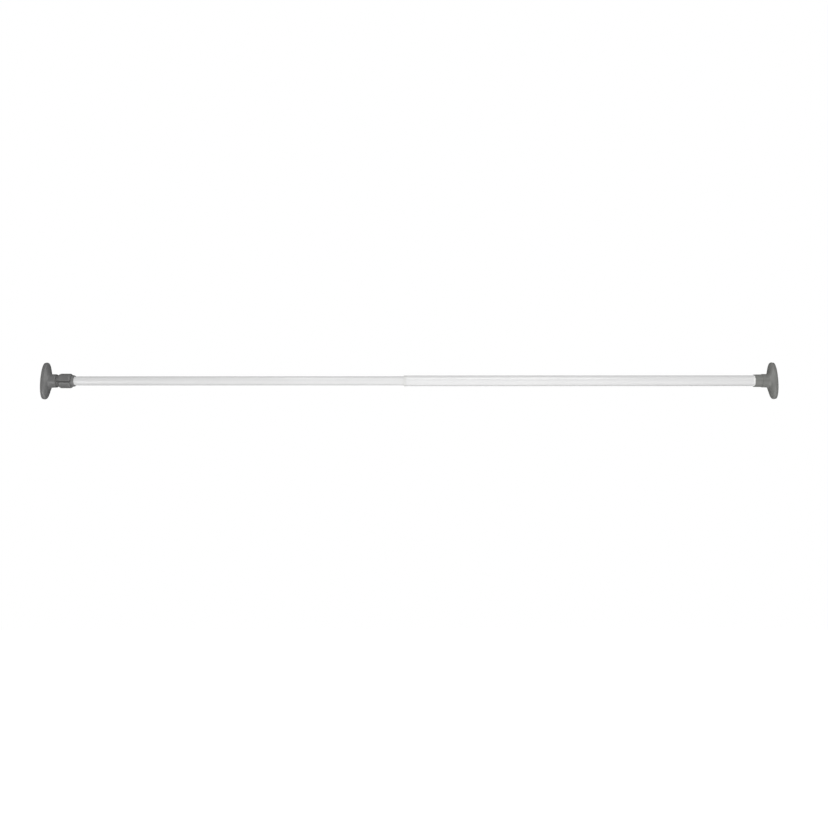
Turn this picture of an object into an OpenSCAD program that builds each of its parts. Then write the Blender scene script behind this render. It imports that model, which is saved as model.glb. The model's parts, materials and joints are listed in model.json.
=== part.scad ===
// Telescopic closet rod, a jack-type tension rod that is braced between two walls.
// A thin white tube slides in a thick white tube. The thick tube ends in a grey
// socket and an oval pad that swivels. The thin tube ends in a lobed grip, a jack
// screw and a second oval pad. A twist lock inside holds the two tubes together.
//
// Frame: the rod lies along X. The origin is the centre of the fixed pad's wall
// face, +X points out of that face into the wall, and +Z is up. The adjuster pad's
// wall face is at X = -(extended length). Drawn fully extended, jack wound in.

/* [Length] */
// Wall face to wall face, telescope fully out and jack wound in
rod_len = 2000; // [1980:1:2020]
// How far the telescope closes from there
telescope_travel = 900; // [860:1:900]
// How far the jack winds the adjuster pad out
jack_travel = 20; // [5:1:22]

/* [Tubes] */
// Outside diameter of the thick tube
outer_d = 29; // [28.9:0.1:29.1]
// Outside diameter of the thin tube
inner_d = 24.5; // [24.4:0.1:24.7]
// Wall thickness of both tubes
tube_wall = 0.8; // [0.7:0.1:0.9]

/* [Pads] */
// Height of the oval pads
pad_h = 103; // [96:1:110]
// Depth of the oval pads
pad_d = 52; // [48:1:58]
// Length of a pad from its wall face to the end of its neck
pad_len = 36.3; // [35.8:0.1:36.3]
// Radius of a pad's neck at the pad
neck_r = 18.4; // [17.8:0.1:19]
// Thickness of rubber that shows beside the wall
rubber_edge = 4; // [3:0.5:5]

/* [Grip] */
// Number of lobes around the grip
lobe_count = 4; // [3:1:6]
// Radius over the lobes
lobe_r = 19.9; // [19.4:0.1:20.6]
// Distance from the axis to the floor of a groove between two lobes
grip_r = 17.1; // [16.8:0.1:17.6]
// Width of a groove's floor
groove_w = 2.8; // [2:0.2:5]

/* [Jack screw] */
// Radius over the thread
screw_r = 8; // [7.9:0.05:8]
// Thread pitch
screw_pitch = 4; // [3:1:4]

/* [Hidden] */

grey = [0.44, 0.44, 0.43];
dark = [0.33, 0.33, 0.33];
rubber = [0.40, 0.40, 0.38];
white = [0.93, 0.93, 0.93];
nylon = [0.88, 0.88, 0.86];
acetal = [0.90, 0.90, 0.84];
zinc = [0.70, 0.71, 0.72];

fn = 96;
eps = 0.01;
outer_r = outer_d / 2;
inner_r = inner_d / 2;
outer_bore = outer_r - tube_wall;
inner_bore = inner_r - tube_wall;

// fixed end, distances from its wall face
socket_v0 = 36.6;
socket_v1 = 57.3;
tube_v0 = 41;

// mouth of the thick tube, as X
mouth_x = -(rod_len - telescope_travel - 85.2);
mouth_ring = 5.8;
bush_len = 18;

// adjuster end, distances from its wall face
cap_u0 = 36.6;
grip_u0 = 39.2;
grip_u1 = 76.8;
collar_u0 = 77.3;
collar_u1 = 84.9;
nut_u0 = 47;
nut_u1 = 60;
plug_u0 = 61.6;
tube_u0 = 63.6;
// how far the grip and its nut are turned as drawn
grip_rest = 21.5;

// twist lock, as X
tube_back = mouth_x + mouth_ring + bush_len - 4.5;
sleeve_x0 = tube_back + 5;
sleeve_x1 = sleeve_x0 + 29.5;
taper_x0 = sleeve_x0 + 5.5;
taper_r0 = 6.2;
taper_k = 0.18;
lock_move = 2;

// -- placing ---------------------------------------------------------------

// local +Z becomes the distance from the fixed pad's wall face
module from_fixed() rotate([0, -90, 0]) children();
// local +Z becomes the distance from the adjuster pad's wall face
module from_adjuster() translate([-rod_len, 0, 0]) rotate([0, 90, 0]) children();
// local +Z becomes +X
module along_x() rotate([0, 90, 0]) children();

module ring(r_out, r_in, z0, z1)
    rotate_extrude($fn = fn)
        polygon([[r_in, z0], [r_out, z0], [r_out, z1], [r_in, z1]]);

// -- outlines --------------------------------------------------------------

// An oval outline, a along local X and b along local Y
function oval(a, b, n, count = 72) =
    [for (i = [0 : count - 1])
        let (t = 360 * i / count, c = cos(t), s = sin(t))
        [a * sign(c) * pow(abs(c), 2 / n), b * sign(s) * pow(abs(s), 2 / n)]];

// How oval a pad is where its half height is a: 0 at the neck, 1 at the rim
function ovalness(a) = max(0, (a - neck_r) / (pad_h / 2 - neck_r));
function pad_b(a) = neck_r < a ? neck_r + (pad_d / 2 - neck_r) * ovalness(a) : a;
function pad_n(a) = 2 + 0.1 * ovalness(a);

// Half height of the pad against the distance from the wall
pad_a = pad_h / 2;
pad_profile = [
    [rubber_edge, pad_a - 0.7], [rubber_edge + 0.6, pad_a], [7.2, pad_a],
    [8.4, pad_a - 0.35], [9.4, pad_a - 1.2], [10.2, pad_a - 2.6], [10.9, pad_a - 5],
    [12.6, pad_a - 12], [14.6, pad_a - 20], [16.3, neck_r + 5.6],
    [17.6, neck_r + 3], [19.4, neck_r + 1.2], [22, neck_r + 0.25], [25, neck_r],
    [pad_len - 0.9, neck_r - 0.2], [pad_len - 0.4, neck_r - 0.4], [pad_len, neck_r - 0.9]];

// A closed solid lofted through the pad profile
module pad_loft() {
    count = 72;
    rows = len(pad_profile);
    pts = [for (p = pad_profile)
        let (o = oval(p[1], pad_b(p[1]), pad_n(p[1]), count))
        for (q = o) [q[0], q[1], p[0]]];
    sides = [for (k = [0 : rows - 2], i = [0 : count - 1])
        let (j = (i + 1) % count)
        each [[k * count + i, (k + 1) * count + i, (k + 1) * count + j],
              [k * count + i, (k + 1) * count + j, k * count + j]]];
    bottom = [for (i = [0 : count - 1]) i];
    top = [for (i = [count - 1 : -1 : 0]) (rows - 1) * count + i];
    polyhedron(points = pts, faces = concat(sides, [bottom], [top]), convexity = 6);
}

// -- pads: one moulding, used at both ends ---------------------------------

module pad_shell() {
    difference() {
        pad_loft();
        // recess that takes the rubber's tongue
        translate([0, 0, -1]) linear_extrude(7.3)
            polygon(oval(pad_a - 5.5, pad_d / 2 - 4.5, 2.1));
        // pocket for the pad screw and its washer
        translate([0, 0, 5]) cylinder(r = 10.5, h = 15, $fn = fn);
        // hole for the screw
        translate([0, 0, 19]) cylinder(r = 2.8, h = 6, $fn = 48);
        // bearing bore that takes the spigot
        translate([0, 0, 24]) cylinder(r = 9, h = 14, $fn = fn);
        // moulding core-outs round the pocket, with six ribs left between them
        for (i = [0 : 5]) rotate([0, 0, 60 * i])
            translate([0, 0, 5]) intersection() {
                difference() {
                    cylinder(r = 15.4, h = 25, $fn = fn);
                    translate([0, 0, -1]) cylinder(r = 12.1, h = 27, $fn = fn);
                }
                translate([13.75, 0, 12.5]) cube([6, 11, 25], center = true);
            }
        // lightening pockets in the two ends of the oval
        for (s = [-1, 1]) translate([s * 29, 0, 5]) cylinder(r = 8.5, h = 5, $fn = 64);
    }
}

module pad_rubber() {
    difference() {
        union() {
            linear_extrude(rubber_edge) polygon(oval(pad_a - 0.7, pad_d / 2 - 0.7, 2.1));
            translate([0, 0, rubber_edge - eps]) linear_extrude(2.1)
                polygon(oval(pad_a - 5.7, pad_d / 2 - 4.7, 2.1));
        }
        // three oval grooves that let the face grip a wall
        for (k = [0 : 2])
            translate([0, 0, -1]) linear_extrude(2) difference() {
                polygon(oval(pad_a - 5 - 9 * k, pad_d / 2 - 4 - 5.2 * k, 2.1));
                polygon(oval(pad_a - 6.6 - 9 * k, pad_d / 2 - 5.6 - 5.2 * k, 2.1));
            }
    }
}

// Pan-head screw with a cross recess, head down, along +Z from z = 0
module pan_screw(shank_len) {
    difference() {
        rotate_extrude($fn = 64)
            polygon([[0, 0], [2.6, 0.12], [3.9, 0.6], [4.7, 1.5], [4.9, 2.4], [4.9, 3.4],
                     [2.5, 3.4], [2.5, 3.4 + shank_len - 1.2], [1.6, 3.4 + shank_len],
                     [0, 3.4 + shank_len]]);
        for (a = [0, 90]) rotate([0, 0, a])
            translate([0, 0, 0.8]) cube([5, 1.1, 1.8], center = true);
    }
}

module fixed_pad_rubber() color(rubber) from_fixed() pad_rubber();
module adjuster_pad_rubber() color(rubber) from_adjuster() pad_rubber();
module fixed_pad_shell() color(grey) from_fixed() pad_shell();
module adjuster_pad_shell() color(grey) from_adjuster() pad_shell();

module fixed_pad_screw() color(zinc) from_fixed()
    translate([0, 0, 15.3]) pan_screw(32);
module adjuster_pad_screw() color(zinc) from_adjuster()
    translate([0, 0, 15.35]) pan_screw(24);

module fixed_pad_washer() color(zinc) from_fixed() ring(9, 2.65, 18.75, 19.95);
module adjuster_pad_washer() color(zinc) from_adjuster() ring(9, 2.65, 18.8, 20);

// -- fixed end -------------------------------------------------------------

// Grey socket on the thick tube's end, with the spigot that the pad turns on
module tube_socket() color(dark) from_fixed() difference() {
    rotate_extrude($fn = fn)
        polygon([[2.7, 24.2], [8.35, 24.2], [8.95, 24.8], [8.95, socket_v0], [16.7, socket_v0],
                 [17.2, socket_v0 + 0.4], [17.2, 44], [17.0, socket_v1 - 0.6],
                 [16.5, socket_v1], [2.7, socket_v1]]);
    translate([0, 0, tube_v0 - 0.5]) cylinder(r = outer_r + 0.9, h = 30, $fn = fn);
}

// White liner between the tube and the socket, whose lip shows in front of it
module socket_liner() color(white) from_fixed()
    rotate_extrude($fn = fn)
        polygon([[outer_r + 0.04, tube_v0 + 1], [outer_r + 0.86, tube_v0 + 1],
                 [outer_r + 0.86, socket_v1 + 0.2], [outer_r + 0.7, socket_v1 + 3.4],
                 [outer_r + 0.3, socket_v1 + 4], [outer_r + 0.04, socket_v1 + 4]]);

// Plug pressed into the thick tube's end, which the pad screw bites into
module socket_plug() color(dark) from_fixed()
    rotate_extrude($fn = fn)
        polygon([[2.55, tube_v0 - 0.4], [outer_bore - 0.5, tube_v0 - 0.4],
                 [outer_bore - 0.05, tube_v0 + 0.4], [outer_bore - 0.05, tube_v0 + 4],
                 [outer_bore - 0.6, tube_v0 + 4.6], [outer_bore - 0.6, tube_v0 + 6.4],
                 [outer_bore - 0.05, tube_v0 + 7], [outer_bore - 0.05, tube_v0 + 11],
                 [outer_bore - 1.2, tube_v0 + 13], [2.55, tube_v0 + 13]]);

// -- tubes -----------------------------------------------------------------

module outer_tube() color(white)
    along_x() ring(outer_r, outer_bore, mouth_x + mouth_ring, -tube_v0);

module inner_tube() color(white)
    along_x() ring(inner_r, inner_bore, -rod_len + tube_u0, tube_back);

// White bush in the thick tube's mouth: a ring outside, a sleeve inside. The sleeve
// guides the thin tube and stops the twist lock at full length.
module mouth_bush() color(nylon) along_x()
    rotate_extrude($fn = fn)
        polygon([[inner_r + 0.07, mouth_x + 0.5], [inner_r + 0.5, mouth_x],
                 [outer_r - 0.5, mouth_x], [outer_r + 0.3, mouth_x + 0.8],
                 [outer_r + 0.3, mouth_x + mouth_ring - 0.4],
                 [outer_r, mouth_x + mouth_ring - 0.05],
                 [outer_bore - 0.04, mouth_x + mouth_ring - 0.05],
                 [outer_bore - 0.04, mouth_x + mouth_ring + bush_len],
                 [inner_r + 0.07, mouth_x + mouth_ring + bush_len]]);

// -- twist lock ------------------------------------------------------------

// Annular thread form: crest rc, root rr, from z0 to z1
function thread(z0, z1, p, rc, rr) =
    let (n = floor((z1 - z0) / p))
    [for (i = [0 : n - 1]) each [
        [rc, z0 + p * (i + 0.12)], [rr, z0 + p * (i + 0.38)],
        [rr, z0 + p * (i + 0.62)], [rc, z0 + p * (i + 0.88)]]];

// Plug pressed into the thin tube's inner end, carrying the stud
module lock_plug() color(dark) along_x()
    rotate_extrude($fn = fn)
        polygon([[4.05, tube_back - 24], [inner_bore - 1, tube_back - 24],
                 [inner_bore - 0.05, tube_back - 22], [inner_bore - 0.05, tube_back + 0.02],
                 [inner_r - 0.05, tube_back + 0.02], [inner_r - 0.05, tube_back + 1.4],
                 [inner_r - 0.7, tube_back + 2], [4.05, tube_back + 2]]);

module lock_stud() color(zinc) along_x()
    rotate_extrude($fn = 64)
        polygon(concat([[0, tube_back - 20], [3.5, tube_back - 20], [4, tube_back - 19.4],
                        [4, taper_x0 + 2]],
                       thread(taper_x0 + 2, sleeve_x1 + 3.4, 2, 4, 3.5),
                       [[4, sleeve_x1 + 3.6], [3.3, sleeve_x1 + 4.3], [0, sleeve_x1 + 4.3]]));

// Split sleeve that the cone spreads against the thick tube's bore
module lock_sleeve() color(acetal) along_x() difference() {
    rotate_extrude($fn = fn)
        polygon([[4.08, sleeve_x0], [outer_bore - 0.9, sleeve_x0], [outer_bore - 0.08, sleeve_x0 + 1],
                 [outer_bore - 0.08, sleeve_x1 - 1], [outer_bore - 0.6, sleeve_x1],
                 [taper_r0 + taper_k * (sleeve_x1 - taper_x0), sleeve_x1],
                 [taper_r0, taper_x0], [4.08, taper_x0]]);
    // the split, at the top
    translate([-(outer_bore), 0, sleeve_x0 + 3.5 + 20])
        cube([2 * (outer_bore - 4.6), 3.2, 40], center = true);
    // two shallow friction grooves round the sleeve
    for (z = [sleeve_x0 + 10, sleeve_x0 + 20]) translate([0, 0, z]) difference() {
        cylinder(r = outer_bore + 1, h = 1.6, $fn = fn);
        translate([0, 0, -1]) cylinder(r = outer_bore - 0.7, h = 4, $fn = fn);
    }
}

// Cone nut on the stud. A fin in the sleeve's split keeps it from turning.
cone_x0 = taper_x0 + 4 + lock_move;
cone_x1 = sleeve_x1 + 0.5;
module lock_cone_nut() color(nylon) along_x() difference() {
    union() {
        rotate_extrude($fn = fn)
            polygon([[4.06, cone_x0],
                     [taper_r0 + taper_k * (cone_x0 - lock_move - taper_x0) - 0.12, cone_x0],
                     [taper_r0 + taper_k * (sleeve_x1 - 1.6 - lock_move - taper_x0) - 0.12, sleeve_x1 - 1.6],
                     [9.4, cone_x1], [4.06, cone_x1]]);
        translate([-8.9, 0, (cone_x0 + cone_x1) / 2 + 1])
            cube([5.4, 2.8, cone_x1 - cone_x0 - 4], center = true);
    }
    translate([0, 0, cone_x0 - 1]) cylinder(r = 4.06, h = 40, $fn = 64);
}

// Nut that keeps the cone nut on the stud
module lock_end_nut() color(zinc) along_x()
    translate([0, 0, sleeve_x1 + 1.1]) difference() {
        cylinder(r = 7.4, h = 2.6, $fn = 6);
        translate([0, 0, -1]) cylinder(r = 4.04, h = 5, $fn = 64);
    }

// -- adjuster end ----------------------------------------------------------

// Collar fixed on the thin tube, which the grip bears on
module tube_collar() color(dark) from_adjuster()
    rotate_extrude($fn = fn)
        polygon([[inner_r + 0.03, collar_u0], [15.8, collar_u0], [16.2, collar_u0 + 0.5],
                 [16.0, collar_u0 + 3], [15.1, collar_u1 - 0.6], [14.6, collar_u1],
                 [inner_r + 0.03, collar_u1]]);

// Plug in the thin tube's front end. Its flange keeps the grip on, and its flatted
// hole keeps the jack screw from turning.
module tube_plug() color(dark) from_adjuster() difference() {
    rotate_extrude($fn = fn)
        polygon([[0, plug_u0], [13.5, plug_u0], [13.5, tube_u0 - 0.05], [inner_bore - 0.05, tube_u0 - 0.05],
                 [inner_bore - 0.05, tube_u0 + 20], [inner_bore - 1, tube_u0 + 22], [0, tube_u0 + 22]]);
    translate([0, 0, plug_u0 - 1]) linear_extrude(30) intersection() {
        circle(r = screw_r + 0.08, $fn = fn);
        square([2 * (screw_r + 1), 2 * (screw_flat + 0.08)], center = true);
    }
}

module thrust_washer() color(acetal) from_adjuster() ring(13.6, 9, nut_u1 + 0.25, plug_u0 - 0.05);

// Grip with wide lobes, and a groove between each two
module grip_shell() color(grey) from_adjuster() rotate([0, 0, grip_rest]) difference() {
    rotate_extrude($fn = fn)
        polygon([[0, grip_u0], [15.2, grip_u0], [15.7, grip_u0 + 0.5], [16.4, grip_u0 + 2.4],
                 [lobe_r - 0.6, grip_u0 + 7.2], [lobe_r, grip_u0 + 9.2], [lobe_r, grip_u1 - 3.4],
                 [lobe_r - 0.5, grip_u1 - 2.1], [17.6, grip_u1 - 0.5], [16.8, grip_u1], [0, grip_u1]]);
    for (i = [0 : lobe_count - 1]) rotate([0, 0, 360 * i / lobe_count])
        translate([0, 0, grip_u0 - 1]) linear_extrude(grip_u1 - grip_u0 + 2)
            polygon([[grip_r, -groove_w / 2], [grip_r + 2.2, -groove_w / 2 - 0.4], [grip_r + 6, -groove_w / 2 - 5],
                     [grip_r + 6, groove_w / 2 + 5], [grip_r + 2.2, groove_w / 2 + 0.4], [grip_r, groove_w / 2]]);
    // chamber for the end cap, the nut, the thrust washer and the plug's flange
    translate([0, 0, grip_u0 - 1]) cylinder(r = 13.9, h = tube_u0 + 0.4 - grip_u0 + 1, $fn = fn);
    // bearing bore on the thin tube
    translate([0, 0, grip_u0]) cylinder(r = inner_r + 0.09, h = 60, $fn = fn);
    // two keyways for the nut
    for (a = [0, 180]) rotate([0, 0, a])
        translate([13, 0, (grip_u0 + nut_u1) / 2]) cube([3.9, 4.2, nut_u1 - grip_u0 + 2.2], center = true);
}

// Cap that closes the grip round the screw
module grip_end_cap() color(dark) from_adjuster()
    rotate_extrude($fn = fn)
        polygon([[8.7, cap_u0], [14.6, cap_u0], [15.2, cap_u0 + 0.6], [15.2, grip_u0 - 0.05],
                 [13.85, grip_u0 - 0.05], [13.85, nut_u0 - 0.3], [8.7, nut_u0 - 0.3]]);

module jack_nut() color(acetal) from_adjuster() rotate([0, 0, grip_rest]) difference() {
    union() {
        ring(13.8, screw_r + 0.07, nut_u0, nut_u1);
        for (a = [0, 180]) rotate([0, 0, a])
            translate([13.3, 0, (nut_u0 + nut_u1) / 2]) cube([2.8, 3.9, nut_u1 - nut_u0], center = true);
    }
    translate([0, 0, nut_u0 - 1]) cylinder(r = screw_r + 0.07, h = 20, $fn = fn);
}

// Jack screw: a flanged foot in the pad's neck, then the thread, with two flats
screw_flat = screw_r - 1.1;
screw_end = 112;
module jack_screw() color(zinc) from_adjuster() difference() {
    union() {
        rotate_extrude($fn = fn)
            polygon([[0, 24.1], [8.35, 24.1], [8.95, 24.7], [8.95, pad_len - 0.2], [0, pad_len - 0.2]]);
        intersection() {
            rotate_extrude($fn = fn)
                polygon(concat([[0, pad_len - 1], [screw_r, pad_len - 1]],
                               thread(40, screw_end - 2, screw_pitch, screw_r, screw_r - 1.6),
                               [[screw_r, screw_end - 1.5], [screw_r - 1.5, screw_end], [0, screw_end]]));
            translate([0, 0, 70]) cube([40, 2 * screw_flat, 100], center = true);
        }
    }
    // tapped hole for the pad screw
    translate([0, 0, 20]) cylinder(r = 2.55, h = 26, $fn = 48);
}

fixed_pad_rubber();
fixed_pad_shell();
fixed_pad_screw();
fixed_pad_washer();
tube_socket();
socket_liner();
socket_plug();
outer_tube();
mouth_bush();
inner_tube();
lock_plug();
lock_stud();
lock_sleeve();
lock_cone_nut();
lock_end_nut();
tube_collar();
tube_plug();
thrust_washer();
grip_shell();
grip_end_cap();
jack_nut();
jack_screw();
adjuster_pad_shell();
adjuster_pad_rubber();
adjuster_pad_screw();
adjuster_pad_washer();
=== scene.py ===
import json
import math

import bmesh
import bpy
from mathutils import Matrix, Vector


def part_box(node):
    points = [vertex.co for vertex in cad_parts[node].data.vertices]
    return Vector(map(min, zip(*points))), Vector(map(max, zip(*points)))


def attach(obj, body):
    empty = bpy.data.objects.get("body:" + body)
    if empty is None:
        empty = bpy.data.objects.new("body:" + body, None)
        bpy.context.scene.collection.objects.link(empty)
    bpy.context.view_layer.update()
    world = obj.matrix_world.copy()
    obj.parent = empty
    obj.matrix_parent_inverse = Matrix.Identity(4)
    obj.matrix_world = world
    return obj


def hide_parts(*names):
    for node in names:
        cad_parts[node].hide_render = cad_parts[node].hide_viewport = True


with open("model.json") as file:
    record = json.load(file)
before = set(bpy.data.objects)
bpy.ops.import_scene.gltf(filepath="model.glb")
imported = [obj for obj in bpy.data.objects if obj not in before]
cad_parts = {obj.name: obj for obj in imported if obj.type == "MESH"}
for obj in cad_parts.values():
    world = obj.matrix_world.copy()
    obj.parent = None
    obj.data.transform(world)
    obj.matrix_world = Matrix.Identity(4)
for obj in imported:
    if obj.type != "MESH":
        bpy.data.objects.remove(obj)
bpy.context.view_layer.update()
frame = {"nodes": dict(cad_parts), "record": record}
record = frame["record"]
nodes = frame["nodes"]

# ---------------------------------------------------------------------------
# Sizes, in millimetres. They repeat the CAD model's own dimensions.
# ---------------------------------------------------------------------------
ROD = -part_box("adjuster_pad_rubber")[0].x * 1000.0
OUTER_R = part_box("outer_tube")[1].y * 1000.0
INNER_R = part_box("inner_tube")[1].y * 1000.0
WALL = 0.8
PAD_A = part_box("fixed_pad_shell")[1].z * 1000.0
PAD_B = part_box("fixed_pad_shell")[1].y * 1000.0
NECK_R = 18.4
PAD_LEN = 36.3
EDGE = 4.0
LOBES, LOBE_R, GRIP_R, GRIP_REST = 4, 19.9, 17.1, 21.5
GRIP_U0, GRIP_U1 = 39.2, 76.8
SCREW_R, SCREW_PITCH, SCREW_END = 8.0, 4.0, 112.0
MOUTH_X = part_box("mouth_bush")[0].x * 1000.0


def at_fixed(v):
    """X of a distance from the fixed pad's wall face."""
    return -v


def at_adjuster(u):
    """X of a distance from the adjuster pad's wall face."""
    return -ROD + u


# ---------------------------------------------------------------------------
# Mesh building
# ---------------------------------------------------------------------------
def obj_from(name, verts, faces, sharp=32.0):
    """An object from vertices in mm and faces, outward normals, smooth with sharp edges kept."""
    me = bpy.data.meshes.new(name)
    me.from_pydata([(x * 0.001, y * 0.001, z * 0.001) for x, y, z in verts], [], faces)
    bm = bmesh.new()
    bm.from_mesh(me)
    bmesh.ops.remove_doubles(bm, verts=bm.verts, dist=1e-7)
    bmesh.ops.recalc_face_normals(bm, faces=bm.faces)
    if bm.calc_volume(signed=True) < 0:
        bmesh.ops.reverse_faces(bm, faces=bm.faces)
    bm.to_mesh(me)
    bm.free()
    me.shade_smooth()
    me.set_sharp_from_angle(angle=math.radians(sharp))
    ob = bpy.data.objects.new(name, me)
    bpy.context.scene.collection.objects.link(ob)
    return ob


def loft(name, loops, wrap=False, sharp=32.0):
    """A closed skin through loops of equal length. Without wrap both ends are capped."""
    n = len(loops[0])
    verts = [p for lp in loops for p in lp]
    faces = []
    rows = len(loops)
    for k in range(rows if wrap else rows - 1):
        a, b = k * n, ((k + 1) % rows) * n
        for i in range(n):
            j = (i + 1) % n
            faces.append((a + i, a + j, b + j, b + i))
    if not wrap:
        for k, flip in ((0, True), (rows - 1, False)):
            cx = [sum(p[c] for p in loops[k]) / n for c in range(3)]
            verts.append(tuple(cx))
            c = len(verts) - 1
            for i in range(n):
                j = (i + 1) % n
                faces.append((c, k * n + j, k * n + i) if flip else (c, k * n + i, k * n + j))
    return obj_from(name, verts, faces, sharp)


def rounded(points, steps=5):
    """(x, r, fillet) corners of a closed outline, each corner with a fillet above 0 turned into an arc."""
    out = []
    points = [(*p, 0)[:3] for p in points]
    n = len(points)
    for i, (x, r, f) in enumerate(points):
        if f <= 0:
            out.append((x, r))
            continue
        p = Vector((x, r))
        a = Vector(points[i - 1][:2]) - p
        b = Vector(points[(i + 1) % n][:2]) - p
        la, lb = a.length, b.length
        a.normalize()
        b.normalize()
        ang = a.angle(b)
        if ang > math.radians(176):
            out.append((x, r))
            continue
        d = min(f / math.tan(ang / 2), la * 0.49, lb * 0.49)
        rad = d * math.tan(ang / 2)
        centre = p + (a + b).normalized() * (rad / math.sin(ang / 2))
        s = p + a * d - centre
        e = p + b * d - centre
        sweep = s.angle_signed(e)
        for k in range(steps + 1):
            t = -sweep * k / steps
            q = centre + Vector((s.x * math.cos(t) - s.y * math.sin(t), s.x * math.sin(t) + s.y * math.cos(t)))
            out.append((q.x, q.y))
    return out


def subdivided(outline, longest):
    """Adds points along the outline so that no piece of it is longer than longest."""
    out = []
    n = len(outline)
    for i in range(n):
        p, q = outline[i], outline[(i + 1) % n]
        d = math.dist(p, q)
        k = max(1, int(math.ceil(d / longest)))
        out += [(p[0] + (q[0] - p[0]) * t / k, p[1] + (q[1] - p[1]) * t / k) for t in range(k)]
    return out


def ring_piece(name, outline, segs=160, longest=None, sharp=32.0, shape=None):
    """Turns a closed outline of (x, r) about the rod's axis into a ring. shape(x, r, t) may move r."""
    if longest:
        outline = subdivided(outline, longest)
    loops = []
    for x, r in outline:
        lp = []
        for i in range(segs):
            t = 2 * math.pi * i / segs
            rr = shape(x, r, t) if shape else r
            lp.append((x, rr * math.cos(t), rr * math.sin(t)))
        loops.append(lp)
    return loft(name, loops, wrap=True, sharp=sharp)


def mesh_cut(ob, cutters):
    """ob minus each cutter, applied."""
    for c in cutters:
        m = ob.modifiers.new("cut", "BOOLEAN")
        m.operation, m.solver, m.object = "DIFFERENCE", "EXACT", c
    dg = bpy.context.evaluated_depsgraph_get()
    me = bpy.data.meshes.new_from_object(ob.evaluated_get(dg))
    ob.modifiers.clear()
    old = ob.data
    ob.data = me
    bpy.data.meshes.remove(old)
    for c in cutters:
        bpy.data.objects.remove(c)
    me.shade_smooth()
    me.set_sharp_from_angle(angle=math.radians(30))


# ---------------------------------------------------------------------------
# Materials
# ---------------------------------------------------------------------------
class Tree:
    """A small helper to write a node material."""

    def __init__(self, name):
        self.m = bpy.data.materials.new(name)
        self.m.use_nodes = True
        self.t = self.m.node_tree
        self.p = self.t.nodes["Principled BSDF"]
        self.coord = self.t.nodes.new("ShaderNodeTexCoord").outputs["Object"]

    def new(self, kind, **props):
        n = self.t.nodes.new(kind)
        for k, v in props.items():
            setattr(n, k, v)
        return n

    def link(self, a, b):
        self.t.links.new(a, b)

    def stretched(self, scale):
        n = self.new("ShaderNodeMapping")
        n.inputs["Scale"].default_value = scale
        self.link(self.coord, n.inputs["Vector"])
        return n.outputs["Vector"]

    def noise(self, scale, detail=3.0, rough=0.5, vector=None, distort=0.0):
        n = self.new("ShaderNodeTexNoise")
        n.inputs["Scale"].default_value = scale
        n.inputs["Detail"].default_value = detail
        n.inputs["Roughness"].default_value = rough
        n.inputs["Distortion"].default_value = distort
        self.link(vector or self.coord, n.inputs["Vector"])
        return n.outputs["Fac"]

    def span(self, value, lo, hi, out_lo, out_hi):
        n = self.new("ShaderNodeMapRange")
        self.link(value, n.inputs["Value"])
        for k, v in (("From Min", lo), ("From Max", hi), ("To Min", out_lo), ("To Max", out_hi)):
            n.inputs[k].default_value = v
        return n.outputs["Result"]

    def eased(self, value, lo, hi, out_lo, out_hi):
        socket = self.span(value, lo, hi, out_lo, out_hi)
        socket.node.interpolation_type = "SMOOTHSTEP"
        return socket

    def math(self, op, a, b):
        n = self.new("ShaderNodeMath", operation=op)
        for i, v in enumerate((a, b)):
            if isinstance(v, (int, float)):
                n.inputs[i].default_value = v
            else:
                self.link(v, n.inputs[i])
        return n.outputs[0]

    def mix(self, fac, a, b):
        n = self.new("ShaderNodeMix", data_type="RGBA")
        self.link(fac, n.inputs["Factor"])
        for sock, v in ((n.inputs[6], a), (n.inputs[7], b)):
            if isinstance(v, tuple):
                sock.default_value = (*v, 1)
            else:
                self.link(v, sock)
        return n.outputs[2]

    def bump(self, height, distance, strength=1.0, after=None):
        n = self.new("ShaderNodeBump")
        n.inputs["Strength"].default_value = strength
        n.inputs["Distance"].default_value = distance
        self.link(height, n.inputs["Height"])
        if after is not None:
            self.link(after, n.inputs["Normal"])
        return n.outputs["Normal"]

    def pointiness(self):
        return self.new("ShaderNodeNewGeometry").outputs["Pointiness"]


def scaled(c, k):
    return tuple(x * k for x in c)


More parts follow.
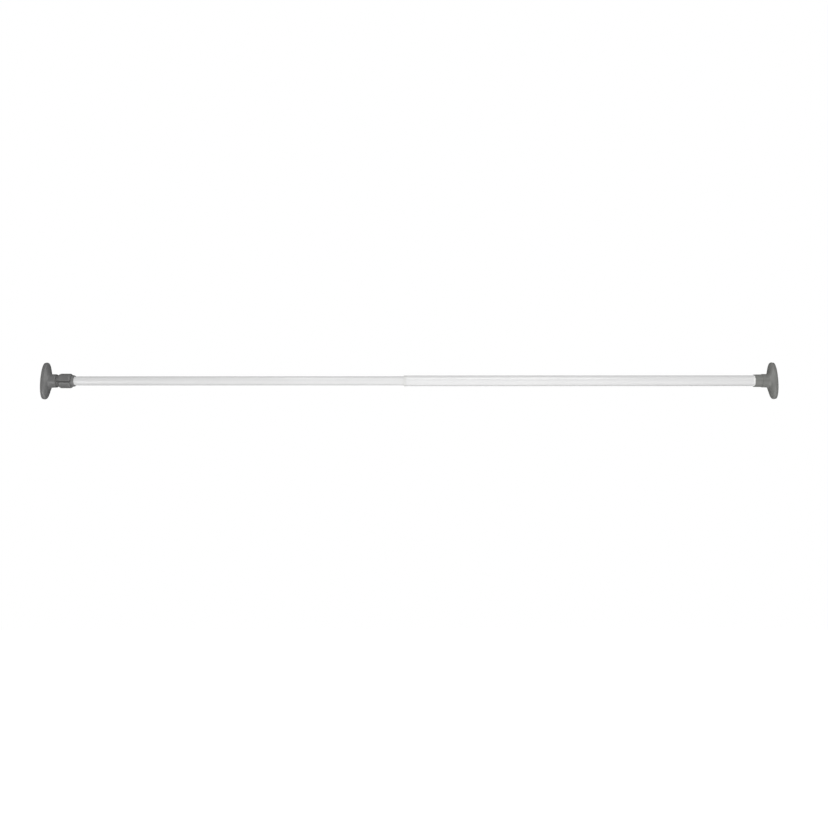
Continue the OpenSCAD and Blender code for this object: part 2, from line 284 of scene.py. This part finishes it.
def moulded(name, colour, rough=(0.29, 0.36), grain=0.00003, edges=True, grooves=None):
    """Satin moulded plastic: eggshell grain, soft cloudiness, slightly polished corners, painted shade in the grooves.
    """
    t = Tree(name)
    cloud = t.noise(38.0, 4.0, 0.55)
    fleck = t.noise(900.0, 2.0, 0.6)
    col = t.mix(t.span(cloud, 0.3, 0.7, 0.0, 1.0), scaled(colour, 0.93), scaled(colour, 1.07))
    col = t.mix(t.span(fleck, 0.35, 0.75, 0.0, 0.22), col, scaled(colour, 1.25))
    if edges:
        # paler on convex corners from wear; darker in inner corners and creases: grime and painted shade
        point = t.pointiness()
        col = t.mix(t.span(point, 0.52, 0.60, 0.0, 0.45), col, scaled(colour, 1.45))
        col = t.mix(t.span(point, 0.40, 0.48, 0.55, 0.0), col, scaled(colour, 0.55))
    if grooves is not None:
        # how many grooves there are around the axis, and the angle of the first from straight down; their floors get a
        # painted shade
        count, first = grooves
        xyz = t.new("ShaderNodeSeparateXYZ")
        t.link(t.coord, xyz.inputs[0])
        angle = t.math("ARCTAN2", xyz.outputs["Y"], t.math("MULTIPLY", xyz.outputs["Z"], -1.0))
        groove_shade_wave = t.math("COSINE", t.math("MULTIPLY", t.math("SUBTRACT", angle, math.radians(first)), float(count)), 0.0)
        # painted shade: the groove floors are darkened to stand for the shade inside them
        col = t.mix(t.eased(groove_shade_wave, 0.940, 0.958, 0.0, 1.0), col, scaled(colour, 0.42))
    t.link(col, t.p.inputs["Base Color"])
    r = t.span(t.noise(160.0, 3.0, 0.6), 0.3, 0.7, rough[0], rough[1])
    t.link(r, t.p.inputs["Roughness"])
    n = t.bump(t.noise(2600.0, 2.0, 0.5), grain, 0.6)
    n = t.bump(t.noise(120.0, 2.0, 0.5), 0.00008, 0.25, after=n)
    t.link(n, t.p.inputs["Normal"])
    t.p.inputs["IOR"].default_value = 1.5
    return t.m


def rubbery(name, colour):
    """Matt soft rubber with a faint bloom and fine pitting."""
    t = Tree(name)
    bloom = t.noise(55.0, 5.0, 0.6)
    col = t.mix(t.span(bloom, 0.35, 0.7, 0.0, 1.0), scaled(colour, 0.88), scaled(colour, 1.15))
    dust = t.noise(700.0, 3.0, 0.7)
    col = t.mix(t.span(dust, 0.58, 0.75, 0.0, 0.35), col, scaled(colour, 1.7))
    t.link(col, t.p.inputs["Base Color"])
    t.link(t.span(bloom, 0.3, 0.7, 0.62, 0.78), t.p.inputs["Roughness"])
    n = t.bump(t.noise(1800.0, 3.0, 0.6), 0.00005, 0.7)
    t.link(n, t.p.inputs["Normal"])
    t.p.inputs["IOR"].default_value = 1.48
    return t.m


def enamel(name, colour, scuff):
    """Gloss white enamel on drawn tube: orange peel, faint draw lines, light sliding scuffs."""
    t = Tree(name)
    cloud = t.noise(9.0, 3.0, 0.5)
    col = t.mix(t.span(cloud, 0.3, 0.7, 0.0, 1.0), scaled(colour, 0.975), scaled(colour, 1.0))
    lines = t.noise(1.0, 4.0, 0.6, vector=t.stretched((14.0, 1500.0, 1500.0)))
    rub = t.span(lines, 0.60, 0.72, 0.0, scuff)
    col = t.mix(rub, col, scaled(colour, 0.80))
    t.link(col, t.p.inputs["Base Color"])
    r = t.span(t.noise(60.0, 4.0, 0.6), 0.3, 0.7, 0.20, 0.27)
    r = t.math("ADD", r, t.math("MULTIPLY", rub, 0.35))
    t.link(r, t.p.inputs["Roughness"])
    n = t.bump(t.noise(520.0, 2.0, 0.45), 0.000012, 0.5)
    n = t.bump(lines, 0.000006, 0.4, after=n)
    t.link(n, t.p.inputs["Normal"])
    t.p.inputs["IOR"].default_value = 1.5
    t.p.inputs["Coat Weight"].default_value = 0.35
    t.p.inputs["Coat Roughness"].default_value = 0.12
    return t.m


def waxy(name, colour, rough=(0.30, 0.42)):
    """Nylon or acetal: smooth, slightly see-into, with faint flow marks."""
    t = Tree(name)
    flow = t.noise(70.0, 3.0, 0.5, distort=1.2)
    col = t.mix(t.span(flow, 0.3, 0.7, 0.0, 1.0), scaled(colour, 0.95), scaled(colour, 1.0))
    t.link(col, t.p.inputs["Base Color"])
    t.link(t.span(t.noise(300.0, 3.0, 0.6), 0.3, 0.7, *rough), t.p.inputs["Roughness"])
    t.link(t.bump(t.noise(900.0, 2.0, 0.5), 0.00002, 0.4), t.p.inputs["Normal"])
    t.p.inputs["IOR"].default_value = 1.5
    t.p.inputs["Subsurface Weight"].default_value = 0.08
    t.p.inputs["Subsurface Radius"].default_value = (0.6, 0.6, 0.5)
    t.p.inputs["Subsurface Scale"].default_value = 0.001
    return t.m


def zinc(name, colour):
    """Bright zinc plate over turned steel: fine tool lines and a patchy sheen."""
    t = Tree(name)
    patch = t.noise(240.0, 4.0, 0.6)
    col = t.mix(t.span(patch, 0.3, 0.7, 0.0, 1.0), scaled(colour, 0.88), scaled(colour, 1.08))
    # darker in the thread roots and inner corners: painted shade
    col = t.mix(t.span(t.pointiness(), 0.40, 0.49, 0.5, 0.0), col, scaled(colour, 0.45))
    t.link(col, t.p.inputs["Base Color"])
    t.p.inputs["Metallic"].default_value = 1.0
    tool = t.noise(1.0, 3.0, 0.6, vector=t.stretched((5200.0, 60.0, 60.0)))
    t.link(t.span(tool, 0.3, 0.7, 0.24, 0.38), t.p.inputs["Roughness"])
    t.link(t.bump(tool, 0.00001, 0.4), t.p.inputs["Normal"])
    return t.m


GREY = (0.153, 0.153, 0.152)
DARK = (0.157, 0.157, 0.157)
# the same grey moulding made lighter for the fixed end's plastic and rubber: painted light, for the brighter light on
# that end
GREY_PAINTED_LIGHTER = (0.189, 0.191, 0.182)
MAT = {
    "grey_plastic": moulded("grey_plastic", GREY),
    "dark_plastic": moulded("dark_plastic", DARK, rough=(0.27, 0.34)),
    "grey_rubber": rubbery("grey_rubber", (0.140, 0.140, 0.138)),
    "white_enamel": enamel("white_enamel", (0.775, 0.775, 0.775), 0.10),
    "slid_enamel": enamel("slid_enamel", (0.74, 0.74, 0.74), 0.28),
    # the grip's plastic carries the painted shade on its groove floors
    "grip_plastic": moulded("grip_plastic", GREY, grooves=(4, 21.5)),
    "grey_plastic_fixed": moulded("grey_plastic_fixed", GREY_PAINTED_LIGHTER),
    "dark_plastic_fixed": moulded("dark_plastic_fixed", scaled(GREY_PAINTED_LIGHTER, 1.04), rough=(0.27, 0.34)),
    "grey_rubber_fixed": rubbery("grey_rubber_fixed", scaled(GREY_PAINTED_LIGHTER, 0.9)),
    "mouth_nylon": waxy("mouth_nylon", (0.70, 0.70, 0.69)),
    "white_nylon": waxy("white_nylon", (0.84, 0.84, 0.83)),
    "acetal": waxy("acetal", (0.78, 0.78, 0.70), rough=(0.34, 0.46)),
    "zinc_steel": zinc("zinc_steel", (0.62, 0.63, 0.65)),
}
slot_of = {s["node"]: s["material_slot"] for s in record["subparts"]}


def finish_piece(ob, node, body, mat=None):
    """Gives a new piece its material, by the node's slot unless one is named, and its body, and hides the CAD node
    that it stands for.
    """
    ob.data.materials.clear()
    ob.data.materials.append(MAT[mat or slot_of[node]])
    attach(ob, body)
    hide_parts(node)
    return ob


# ---------------------------------------------------------------------------
# Pads
# ---------------------------------------------------------------------------
PAD_SEGS = 192


def oval_loop(x, a, b, n, phase=0.0, segs=PAD_SEGS):
    """Points of an oval at x, half height a along Z and half depth b along Y."""
    out = []
    for i in range(segs):
        t = 2 * math.pi * i / segs + phase
        c, s = math.cos(t), math.sin(t)
        out.append((x, b * math.copysign(abs(c) ** (2 / n), c), a * math.copysign(abs(s) ** (2 / n), s)))
    return out


def smooth_row(points, per=6):
    """Catmull-Rom through (v, a) points."""
    out = []
    for i in range(len(points) - 1):
        p0 = Vector(points[max(i - 1, 0)])
        p1, p2 = Vector(points[i]), Vector(points[i + 1])
        p3 = Vector(points[min(i + 2, len(points) - 1)])
        for k in range(per):
            s = k / per
            q = 0.5 * ((2 * p1) + (p2 - p0) * s + (2 * p0 - 5 * p1 + 4 * p2 - p3) * s * s + (3 * p1 - p0 - 3 * p2 + p3) * s ** 3)
            out.append((q.x, q.y))
    out.append(tuple(points[-1]))
    return out


# outer side of the pad moulding: rim, rounded inner edge, dished face, fillet, neck
PAD_OUT = (
    [(EDGE, PAD_A - 0.9), (EDGE + 0.12, PAD_A - 0.55), (EDGE + 0.35, PAD_A - 0.2), (EDGE + 0.7, PAD_A - 0.02)]
    + smooth_row([(5.2, PAD_A), (6.4, PAD_A - 0.03), (7.4, PAD_A - 0.15), (8.5, PAD_A - 0.55), (9.4, PAD_A - 1.3), (10.15, PAD_A - 2.6),
                  (10.9, PAD_A - 5), (12.6, PAD_A - 12), (14.6, PAD_A - 20), (16.3, NECK_R + 5.6),
                  (17.6, NECK_R + 3), (19.4, NECK_R + 1.2), (22, NECK_R + 0.25), (25, NECK_R - 0.02)], 6)
    + [(27.5, NECK_R - 0.04), (30, NECK_R - 0.07), (32.5, NECK_R - 0.11), (34.6, NECK_R - 0.17), (35.3, NECK_R - 0.24),
       (35.75, NECK_R - 0.42), (36.1, NECK_R - 0.72), (36.25, NECK_R - 1.0), (PAD_LEN, NECK_R - 1.4)]
)


def pad_b(a):
    k = max(0.0, (a - NECK_R) / (PAD_A - NECK_R))
    return (NECK_R + (PAD_B - NECK_R) * k if a > NECK_R else a), 2 + 0.1 * k


def pad_shell(name, place):
    loops = []
    for v, a in PAD_OUT:
        b, n = pad_b(a)
        loops.append(oval_loop(place(v), a, b, n))
    # neck end, bearing bore, web, screw hole, pocket, recess floor, recess wall, rim
    for v, r in ((PAD_LEN, 9.4), (PAD_LEN - 0.4, 9.0), (24.0, 9.0), (24.0, 3.1), (23.7, 2.8), (20.3, 2.8), (20.0, 3.1),
                 (20.0, 10.5), (6.8, 10.5), (6.3, 11.0)):
        loops.append(oval_loop(place(v), r, r, 2))
    a0, b0 = PAD_A - 5.5, PAD_B - 4.5
    for v, d in ((6.3, 0.5), (6.1, 0.1), (5.8, 0.0), (EDGE + 0.3, 0.0), (EDGE, -0.3)):
        loops.append(oval_loop(place(v), a0 - d, b0 - d, 2.1))
    loops.append(oval_loop(place(EDGE), PAD_A - 1.3, PAD_B - 1.3, 2.1))
    return loft(name, loops, wrap=True, sharp=28)


def pad_cores(place):
    """Cutters for the core-outs behind the pad: six curved pockets and two round ones."""
    cutters = []
    for i in range(6):
        mid = math.radians(60 * i)
        half = math.radians(22.5)
        loops = []
        for v in (5.5, 30.0):
            lp = []
            for r, way in ((15.4, 1), (12.1, -1)):
                for k in range(9):
                    t = mid + way * (-half + 2 * half * k / 8)
                    lp.append((place(v), r * math.sin(t), r * math.cos(t)))
            loops.append(lp)
        cutters.append(loft("cut", loops))
    for s in (-1, 1):
        loops = []
        for v in (5.5, 10.0):
            loops.append([(place(v), 8.5 * math.cos(2 * math.pi * k / 48), s * 29 + 8.5 * math.sin(2 * math.pi * k / 48)) for k in range(48)])
        cutters.append(loft("cut", loops))
    return cutters


def pad_rubber(name, place):
    """Soft face: rounded rim, three oval grip grooves in the wall face, a tongue behind."""
    rows = []
    a1, b1 = PAD_A - 0.7, PAD_B - 0.7
    # wall face from the centre out
    for a, b in ((3.0, 1.6), (9.0, 4.2), (16.0, 7.6), (22.0, 9.2)):
        rows.append(oval_loop(place(0.0), a, b, 2.1))
    for k in (2, 1, 0):
        ao, bo = PAD_A - 5 - 9 * k, PAD_B - 4 - 5.2 * k
        for v, d in ((0.0, 1.75), (0.12, 1.6), (1.0, 1.5), (1.0, 0.1), (0.12, 0.0), (0.0, -0.15)):
            rows.append(oval_loop(place(v), ao - d, bo - d, 2.1))
    for v, d in ((0.0, 1.2), (0.06, 0.65), (0.3, 0.25), (0.75, 0.05), (1.2, 0.0), (3.4, 0.0), (3.75, 0.08), (3.95, 0.35), (4.0, 0.7)):
        rows.append(oval_loop(place(v), a1 - d, b1 - d, 2.1))
    for v, d in ((4.0, 4.9), (4.15, 5.0), (5.7, 5.0), (6.0, 5.15), (6.1, 5.5)):
        rows.append(oval_loop(place(v), a1 - d, b1 - d, 2.1))
    rows.append(oval_loop(place(6.1), 12.0, 6.0, 2.1))
    return loft(name, rows, sharp=35)


for end, place in (("fixed", at_fixed), ("adjuster", at_adjuster)):
    body = f"{end}_pad"
    shell = pad_shell(f"{end}_pad_moulding", place)
    mesh_cut(shell, pad_cores(place))
    # the fixed end's pieces take the lighter grey copies: painted light
    painted_light_suffix = "_fixed" if end == "fixed" else ""
    finish_piece(shell, f"{end}_pad_shell", body, "grey_plastic" + painted_light_suffix)
    finish_piece(pad_rubber(f"{end}_pad_face", place), f"{end}_pad_rubber", body, "grey_rubber" + painted_light_suffix)

# ---------------------------------------------------------------------------
# Fixed end
# ---------------------------------------------------------------------------
S0, S1, T0 = 36.6, 57.3, 41.0


def outline(points, place, steps=5):
    return rounded([(place(p[0]), *p[1:]) for p in points], steps)


finish_piece(ring_piece("fixed_end_socket", outline([
    (24.2, 2.7), (24.2, 8.95, 0.5), (S0, 8.95), (S0, 17.2, 0.45), (44, 17.2), (S1, 17.0, 0.7),
    (S1, OUTER_R + 0.95, 0.25), (T0 - 0.45, OUTER_R + 0.9), (T0 - 0.45, 2.7)], at_fixed), longest=1.2), "tube_socket", "thick_tube", "dark_plastic_fixed")
finish_piece(ring_piece("socket_lip", outline([
    (T0 + 1, OUTER_R + 0.04), (T0 + 1, OUTER_R + 0.86), (S1 + 0.4, OUTER_R + 0.86, 0.3),
    (S1 + 3.6, OUTER_R + 0.66, 0.5), (S1 + 4, OUTER_R + 0.04)], at_fixed), longest=1.2), "socket_liner", "thick_tube")

# ---------------------------------------------------------------------------
# Tubes
# ---------------------------------------------------------------------------


def tube(name, x0, x1, r, longest):
    return ring_piece(name, rounded([(x0, r - WALL, 0.15), (x0, r, 0.3), (x1, r, 0.3), (x1, r - WALL, 0.15)], 4), segs=160, longest=longest)


ob = tube("thick_white_tube", MOUTH_X + 5.8, -T0, OUTER_R, 12.0)
finish_piece(ob, "outer_tube", "thick_tube")
ob = tube("thin_white_tube", at_adjuster(63.6), MOUTH_X + 5.8 + 13.5, INNER_R, 12.0)
finish_piece(ob, "inner_tube", "thin_tube", "slid_enamel")

M0, M1 = MOUTH_X, MOUTH_X + 5.8
finish_piece(ring_piece("mouth_ring", rounded([
    (M0, INNER_R + 0.07, 0.5), (M0, OUTER_R + 0.3, 0.9), (M1 - 0.1, OUTER_R + 0.3, 0.35), (M1 - 0.05, OUTER_R - 0.1),
    (M1 - 0.05, OUTER_R - WALL - 0.04), (M1 + 18, OUTER_R - WALL - 0.04, 0.4), (M1 + 18, INNER_R + 0.07, 0.3)], 6),
    longest=1.5), "mouth_bush", "thick_tube", "mouth_nylon")

# ---------------------------------------------------------------------------
# Adjuster end
# ---------------------------------------------------------------------------
finish_piece(ring_piece("tube_end_collar", outline([
    (77.3, INNER_R + 0.03), (77.3, 16.2, 0.7), (80.3, 16.0, 2.0), (84.9, 14.75, 0.8), (84.9, INNER_R + 0.03, 0.25)],
    at_adjuster), longest=0.8), "tube_collar", "thin_tube")
finish_piece(ring_piece("grip_end_ring", outline([
    (36.6, 8.7, 0.3), (36.6, 15.2, 0.8), (39.15, 15.2), (39.15, 13.85), (46.7, 13.85, 0.3), (46.7, 8.7, 0.2)],
    at_adjuster), longest=0.8), "grip_end_cap", "grip")


def smoothstep(x):
    x = min(1.0, max(0.0, x))
    return x * x * (3 - 2 * x)


def along(points, u):
    """Value at u on a polyline of (u, value)."""
    for (u0, a), (u1, b) in zip(points, points[1:]):
        if u <= u1:
            return a + (b - a) * (u - u0) / max(u1 - u0, 1e-9)
    return points[-1][1]


def softened(points, u, w=0.55):
    """The same, blurred over a few tenths of a millimetre, so that its corners are rounded."""
    return sum(along(points, min(points[-1][0], max(points[0][0], u + w * k / 4))) for k in range(-4, 5)) / 9.0


GRIP_LINE = [(GRIP_U0, 15.2), (GRIP_U0 + 0.5, 15.7), (GRIP_U0 + 2.4, 16.4), (GRIP_U0 + 7.2, LOBE_R - 0.6), (GRIP_U0 + 9.2, LOBE_R),
             (GRIP_U1 - 3.4, LOBE_R), (GRIP_U1 - 2.1, LOBE_R - 0.5), (GRIP_U1 - 0.5, 17.6), (GRIP_U1, 16.8)]
# a groove's floor, wall and rounded edge: angle from its middle, distance from the axis
GROOVE_LINE = [(0.0, GRIP_R), (0.080, GRIP_R + 0.05), (0.094, 19.25), (0.121, LOBE_R + 0.02), (0.16, LOBE_R + 1.2), (0.9, LOBE_R + 20)]


def soft_min(a, b, k):
    h = max(k - abs(a - b), 0.0) / k
    return min(a, b) - h * h * k / 4


def grip_shell():
    pitch = 2 * math.pi / LOBES
    # angles: dense where a flank turns into the lobe
    offsets = []
    for lo, hi, n in ((0.0, 0.066, 3), (0.066, 0.104, 10), (0.104, 0.16, 9), (0.16, pitch / 2, 11)):
        offsets += [lo + (hi - lo) * k / n for k in range(n)]
    offsets = [-o for o in reversed(offsets[1:])] + offsets + [pitch / 2]
    angles = [(math.radians(GRIP_REST) + pitch * k + o, o) for k in range(LOBES) for o in offsets]
    n_out = 132
    loops = []
    for k in range(n_out + 1):
        u = GRIP_U0 + (GRIP_U1 - GRIP_U0) * (0.5 - 0.5 * math.cos(math.pi * k / n_out))
        around = softened(GRIP_LINE, u)
        # local X of the turned part points down, local Y points back
        loops.append([(at_adjuster(u), r * math.sin(t), -r * math.cos(t))
                      for t, r in ((t, soft_min(around, softened(GROOVE_LINE, abs(o), 0.009), 0.8)) for t, o in angles)])
    inside = [(GRIP_U1, 13.0), (GRIP_U1 - 0.35, INNER_R + 0.09), (64.05, INNER_R + 0.09), (64.0, 13.9), (GRIP_U0 + 0.3, 13.9), (GRIP_U0, 14.2)]
    for u, r in inside:
        loops.append([(at_adjuster(u), r * math.sin(t), -r * math.cos(t)) for t, o in angles])
    return loft("lobed_grip", loops, wrap=True, sharp=40)


finish_piece(grip_shell(), "grip_shell", "grip", "grip_plastic")


def threaded(name, place, parts, pitch, crest, root, flat=None, segs=72, per=16):
    """A solid bar with a helical thread. parts: plain sections before and after as (v, r); z0..z1 is threaded."""
    head, (z0, z1), tail = parts
    flip = place(1.0) < place(0.0)
    loops = []

    def loop(v, radius):
        lp = []
        for i in range(segs):
            t = 2 * math.pi * i / segs
            r = radius(v, t)
            y, z = r * math.cos(t), r * math.sin(t)
            if flat is not None and abs(y) > flat:
                y = math.copysign(flat, y)
            lp.append((place(v), y, z))
        loops.append(lp)

    for v, r in head:
        loop(v, lambda v, t, r=r: r)
    n = int(round((z1 - z0) / pitch * per))

    def helix(v, t):
        ph = ((v - z0) / pitch - (t if not flip else -t) / (2 * math.pi)) % 1.0
        # trapezoid form: crest 0.3, flank 0.2, root 0.3, flank 0.2
        if ph < 0.3:
            d = 0.0
        elif ph < 0.5:
            d = smoothstep((ph - 0.3) / 0.2)
        elif ph < 0.8:
            d = 1.0
        else:
            d = 1 - smoothstep((ph - 0.8) / 0.2)
        fade = min(1.0, (v - z0) / (pitch * 0.6), (z1 - v) / (pitch * 0.6))
        return crest - (crest - root) * d * smoothstep(max(fade, 0.0))

    for k in range(n + 1):
        loop(z0 + (z1 - z0) * k / n, helix)
    for v, r in tail:
        loop(v, lambda v, t, r=r: r)
    return loft(name, loops, sharp=38)


# The foot is wider than the flats, so it is a piece of the same mesh made first.
def jack_screw():
    bar = threaded("jack_spindle", at_adjuster, (
        [(PAD_LEN - 0.2, 0.4), (PAD_LEN - 0.2, SCREW_R - 0.6), (PAD_LEN + 0.2, SCREW_R), (39.0, SCREW_R)], (39.5, SCREW_END - 2.5),
        [(SCREW_END - 1.6, SCREW_R), (SCREW_END - 0.4, SCREW_R - 1.3), (SCREW_END, SCREW_R - 1.7), (SCREW_END, 0.4)]),
        SCREW_PITCH, SCREW_R, SCREW_R - 1.6, flat=SCREW_R - 1.1, segs=96)
    foot = ring_piece("foot", outline([
        (24.1, 2.55), (24.1, 8.95, 0.5), (PAD_LEN - 0.2, 8.95, 0.2), (PAD_LEN - 0.2, 2.55)], at_adjuster), segs=96, longest=2.0)
    join = bpy.data.meshes.new("jack_spindle")
    bm = bmesh.new()
    bm.from_mesh(bar.data)
    bm.from_mesh(foot.data)
    bm.to_mesh(join)
    bm.free()
    bpy.data.objects.remove(foot)
    bar.data = join
    return bar


finish_piece(jack_screw(), "jack_screw", "adjuster_pad")

sx0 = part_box("lock_sleeve")[0].x * 1000.0
sx1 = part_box("lock_sleeve")[1].x * 1000.0
stud0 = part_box("lock_stud")[0].x * 1000.0
stud1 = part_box("lock_stud")[1].x * 1000.0
finish_piece(threaded("lock_threaded_stud", lambda v: v, (
    [(stud0, 0.3), (stud0, 3.4), (stud0 + 0.6, 4.0), (sx0 + 7.0, 4.0)], (sx0 + 7.5, stud1 - 1.0),
    [(stud1 - 0.7, 3.9), (stud1, 3.2), (stud1, 0.3)]), 2.0, 4.0, 3.45, segs=64), "lock_stud", "thin_tube")

# ---------------------------------------------------------------------------
# The rest of the CAD nodes keep their shape and get real materials
# ---------------------------------------------------------------------------
for n, ob in nodes.items():
    if ob.hide_render:
        continue
    ob.data.materials.clear()
    ob.data.materials.append(MAT[slot_of[n]])

# ---------------------------------------------------------------------------
# Floor, light and camera
# ---------------------------------------------------------------------------
scene = bpy.context.scene
scene.view_settings.view_transform = "Standard"
scene.view_settings.look = "None"

FLOOR_Z = -1.75
bm = bmesh.new()
bmesh.ops.create_grid(bm, x_segments=8, y_segments=8, size=60.0)
me = bpy.data.meshes.new("floor")
bm.to_mesh(me)
bm.free()
floor = bpy.data.objects.new("floor", me)
floor.location = (-1.0, 0.0, FLOOR_Z)
scene.collection.objects.link(floor)
t = Tree("pale_floor")
t.link(t.mix(t.noise(0.8, 3.0, 0.5), (0.48, 0.48, 0.48), (0.52, 0.52, 0.52)), t.p.inputs["Base Color"])
t.link(t.span(t.noise(3.0, 3.0, 0.5), 0.3, 0.7, 0.80, 0.90), t.p.inputs["Roughness"])
t.p.inputs["Emission Color"].default_value = (1, 1, 1, 1)
# The floor is white to look at. It throws light up at the rod from in front and from below.
where = t.new("ShaderNodeSeparateXYZ")
t.link(t.coord, where.inputs[0])
off_x = t.math("ABSOLUTE", t.math("SUBTRACT", where.outputs["X"], 0.2), 0.0)
off_y = t.math("ABSOLUTE", t.math("SUBTRACT", where.outputs["Y"], 0.2), 0.0)
ahead = t.math("MULTIPLY", t.eased(where.outputs["Y"], -0.8, 0.4, 1.36, 0.0), t.eased(off_x, 0.4, 3.0, 1.0, 0.0))
under = t.math("MULTIPLY", t.eased(off_y, 0.2, 1.2, 1.26, 0.0), t.eased(off_x, 0.0, 1.6, 1.0, 0.0))
glow = t.math("ADD", ahead, under)
looked_at = t.new("ShaderNodeLightPath").outputs["Is Camera Ray"]
glow = t.math("ADD", t.math("MULTIPLY", glow, t.math("SUBTRACT", 1.0, looked_at)), t.math("MULTIPLY", looked_at, 0.9))
t.link(glow, t.p.inputs["Emission Strength"])
floor.data.materials.append(t.m)

world = bpy.data.worlds.new("studio")
scene.world = world
world.use_nodes = True
wt = world.node_tree
wt.nodes.clear()


def world_node(kind, **props):
    n = wt.nodes.new(kind)
    for k, v in props.items():
        setattr(n, k, v)
    return n


def world_span(socket, lo, hi, out_lo, out_hi):
    n = world_node("ShaderNodeMapRange", interpolation_type="SMOOTHSTEP")
    wt.links.new(socket, n.inputs["Value"])
    for k, v in (("From Min", lo), ("From Max", hi), ("To Min", out_lo), ("To Max", out_hi)):
        n.inputs[k].default_value = v
    return n.outputs["Result"]


def world_math(op, a, b):
    n = world_node("ShaderNodeMath", operation=op)
    for i, v in enumerate((a, b)):
        if isinstance(v, (int, float)):
            n.inputs[i].default_value = v
        else:
            wt.links.new(v, n.inputs[i])
    return n.outputs[0]


# soft light from in front, more of it from the two sides, less from behind the rod; white to look at
out = world_node("ShaderNodeOutputWorld")
seen = world_node("ShaderNodeBackground")
seen.inputs["Color"].default_value = (1, 1, 1, 1)
lit = world_node("ShaderNodeBackground")
lit.inputs["Color"].default_value = (1, 1, 1, 1)
sep = world_node("ShaderNodeSeparateXYZ")
wt.links.new(world_node("ShaderNodeTexCoord").outputs["Generated"], sep.inputs[0])
flank = world_math("POWER", world_math("ABSOLUTE", sep.outputs["X"], 0.0), 4.0)
flank = world_math("MULTIPLY", flank, world_span(sep.outputs["Z"], -0.2, 0.4, 0.0, 1.91))
level = world_math("ADD", world_span(sep.outputs["Z"], 0.1, 0.9, 0.22, 0.38), flank)
level = world_math("MULTIPLY", level, world_span(sep.outputs["Y"], -0.1, 0.5, 1.0, 0.13))
wt.links.new(level, lit.inputs["Strength"])
path = world_node("ShaderNodeLightPath")
mixer = world_node("ShaderNodeMixShader")
wt.links.new(path.outputs["Is Camera Ray"], mixer.inputs["Fac"])
wt.links.new(lit.outputs[0], mixer.inputs[1])
wt.links.new(seen.outputs[0], mixer.inputs[2])
wt.links.new(mixer.outputs[0], out.inputs["Surface"])


def softbox(name, where, target, width, height, radiance):
    light = bpy.data.lights.new(name, "AREA")
    light.shape = "RECTANGLE"
    light.size = width
    light.size_y = height
    light.energy = radiance * math.pi * width * height
    ob = bpy.data.objects.new(name, light)
    ob.location = where
    ob.rotation_mode = "QUATERNION"
    ob.rotation_quaternion = (Vector(target) - Vector(where)).to_track_quat("-Z", "Y")
    scene.collection.objects.link(ob)
    return ob


softbox("softbox_middle", (-0.7, -2.3, 1.5), (-0.7, 0, 0), 1.8, 1.0, 3.6)
softbox("softbox_low_left", (-2.755, -1.40, -1.3), (-1.95, 0, 0), 0.7, 0.4, 7.0)
softbox("softbox_right", (1.15, -2.1, 0.9), (0, 0, 0), 0.8, 0.6, 2.5)
softbox("softbox_over_left", (-0.5, -0.9, 1.2), (-2.0, 0, 0), 0.6, 0.5, 1.8)
# Soft fill for the back, from past either end, so that it misses the sides that face the front.
for side, where, target in (("left", (-3.2, 1.5, 0.45), (-1.65, 0, 0)), ("right", (1.2, 1.5, 0.45), (-0.35, 0, 0))):
    fill = softbox("softbox_behind_" + side, where, target, 0.5, 0.5, 3.4)
    fill.data.spread = math.radians(50)
    fill.visible_glossy = False
softbox("softbox_over_right", (-1.5, -0.9, 1.2), (0, 0, 0), 0.6, 0.5, 3.0)

# The camera stands 2.4 m from the rod and looks up at it by 15 degrees.
D, LOW = 2.4, math.radians(15.0)
F_PX = 876.0
cam_data = bpy.data.cameras.new("camera")
cam_data.sensor_width = 36.0
cam_data.lens = 36.0 * F_PX / 828.0
cam_data.clip_end = 400.0
cam = bpy.data.objects.new("camera", cam_data)
cam.location = (-1.0 + (414.0 - 409.39) * D / F_PX, -D * math.cos(LOW), -D * math.sin(LOW))
pitch = LOW - math.atan((414.0 - 380.85) / F_PX)
cam.rotation_euler = (math.pi / 2 + pitch, 0.00033, 0)
scene.collection.objects.link(cam)
scene.camera = cam
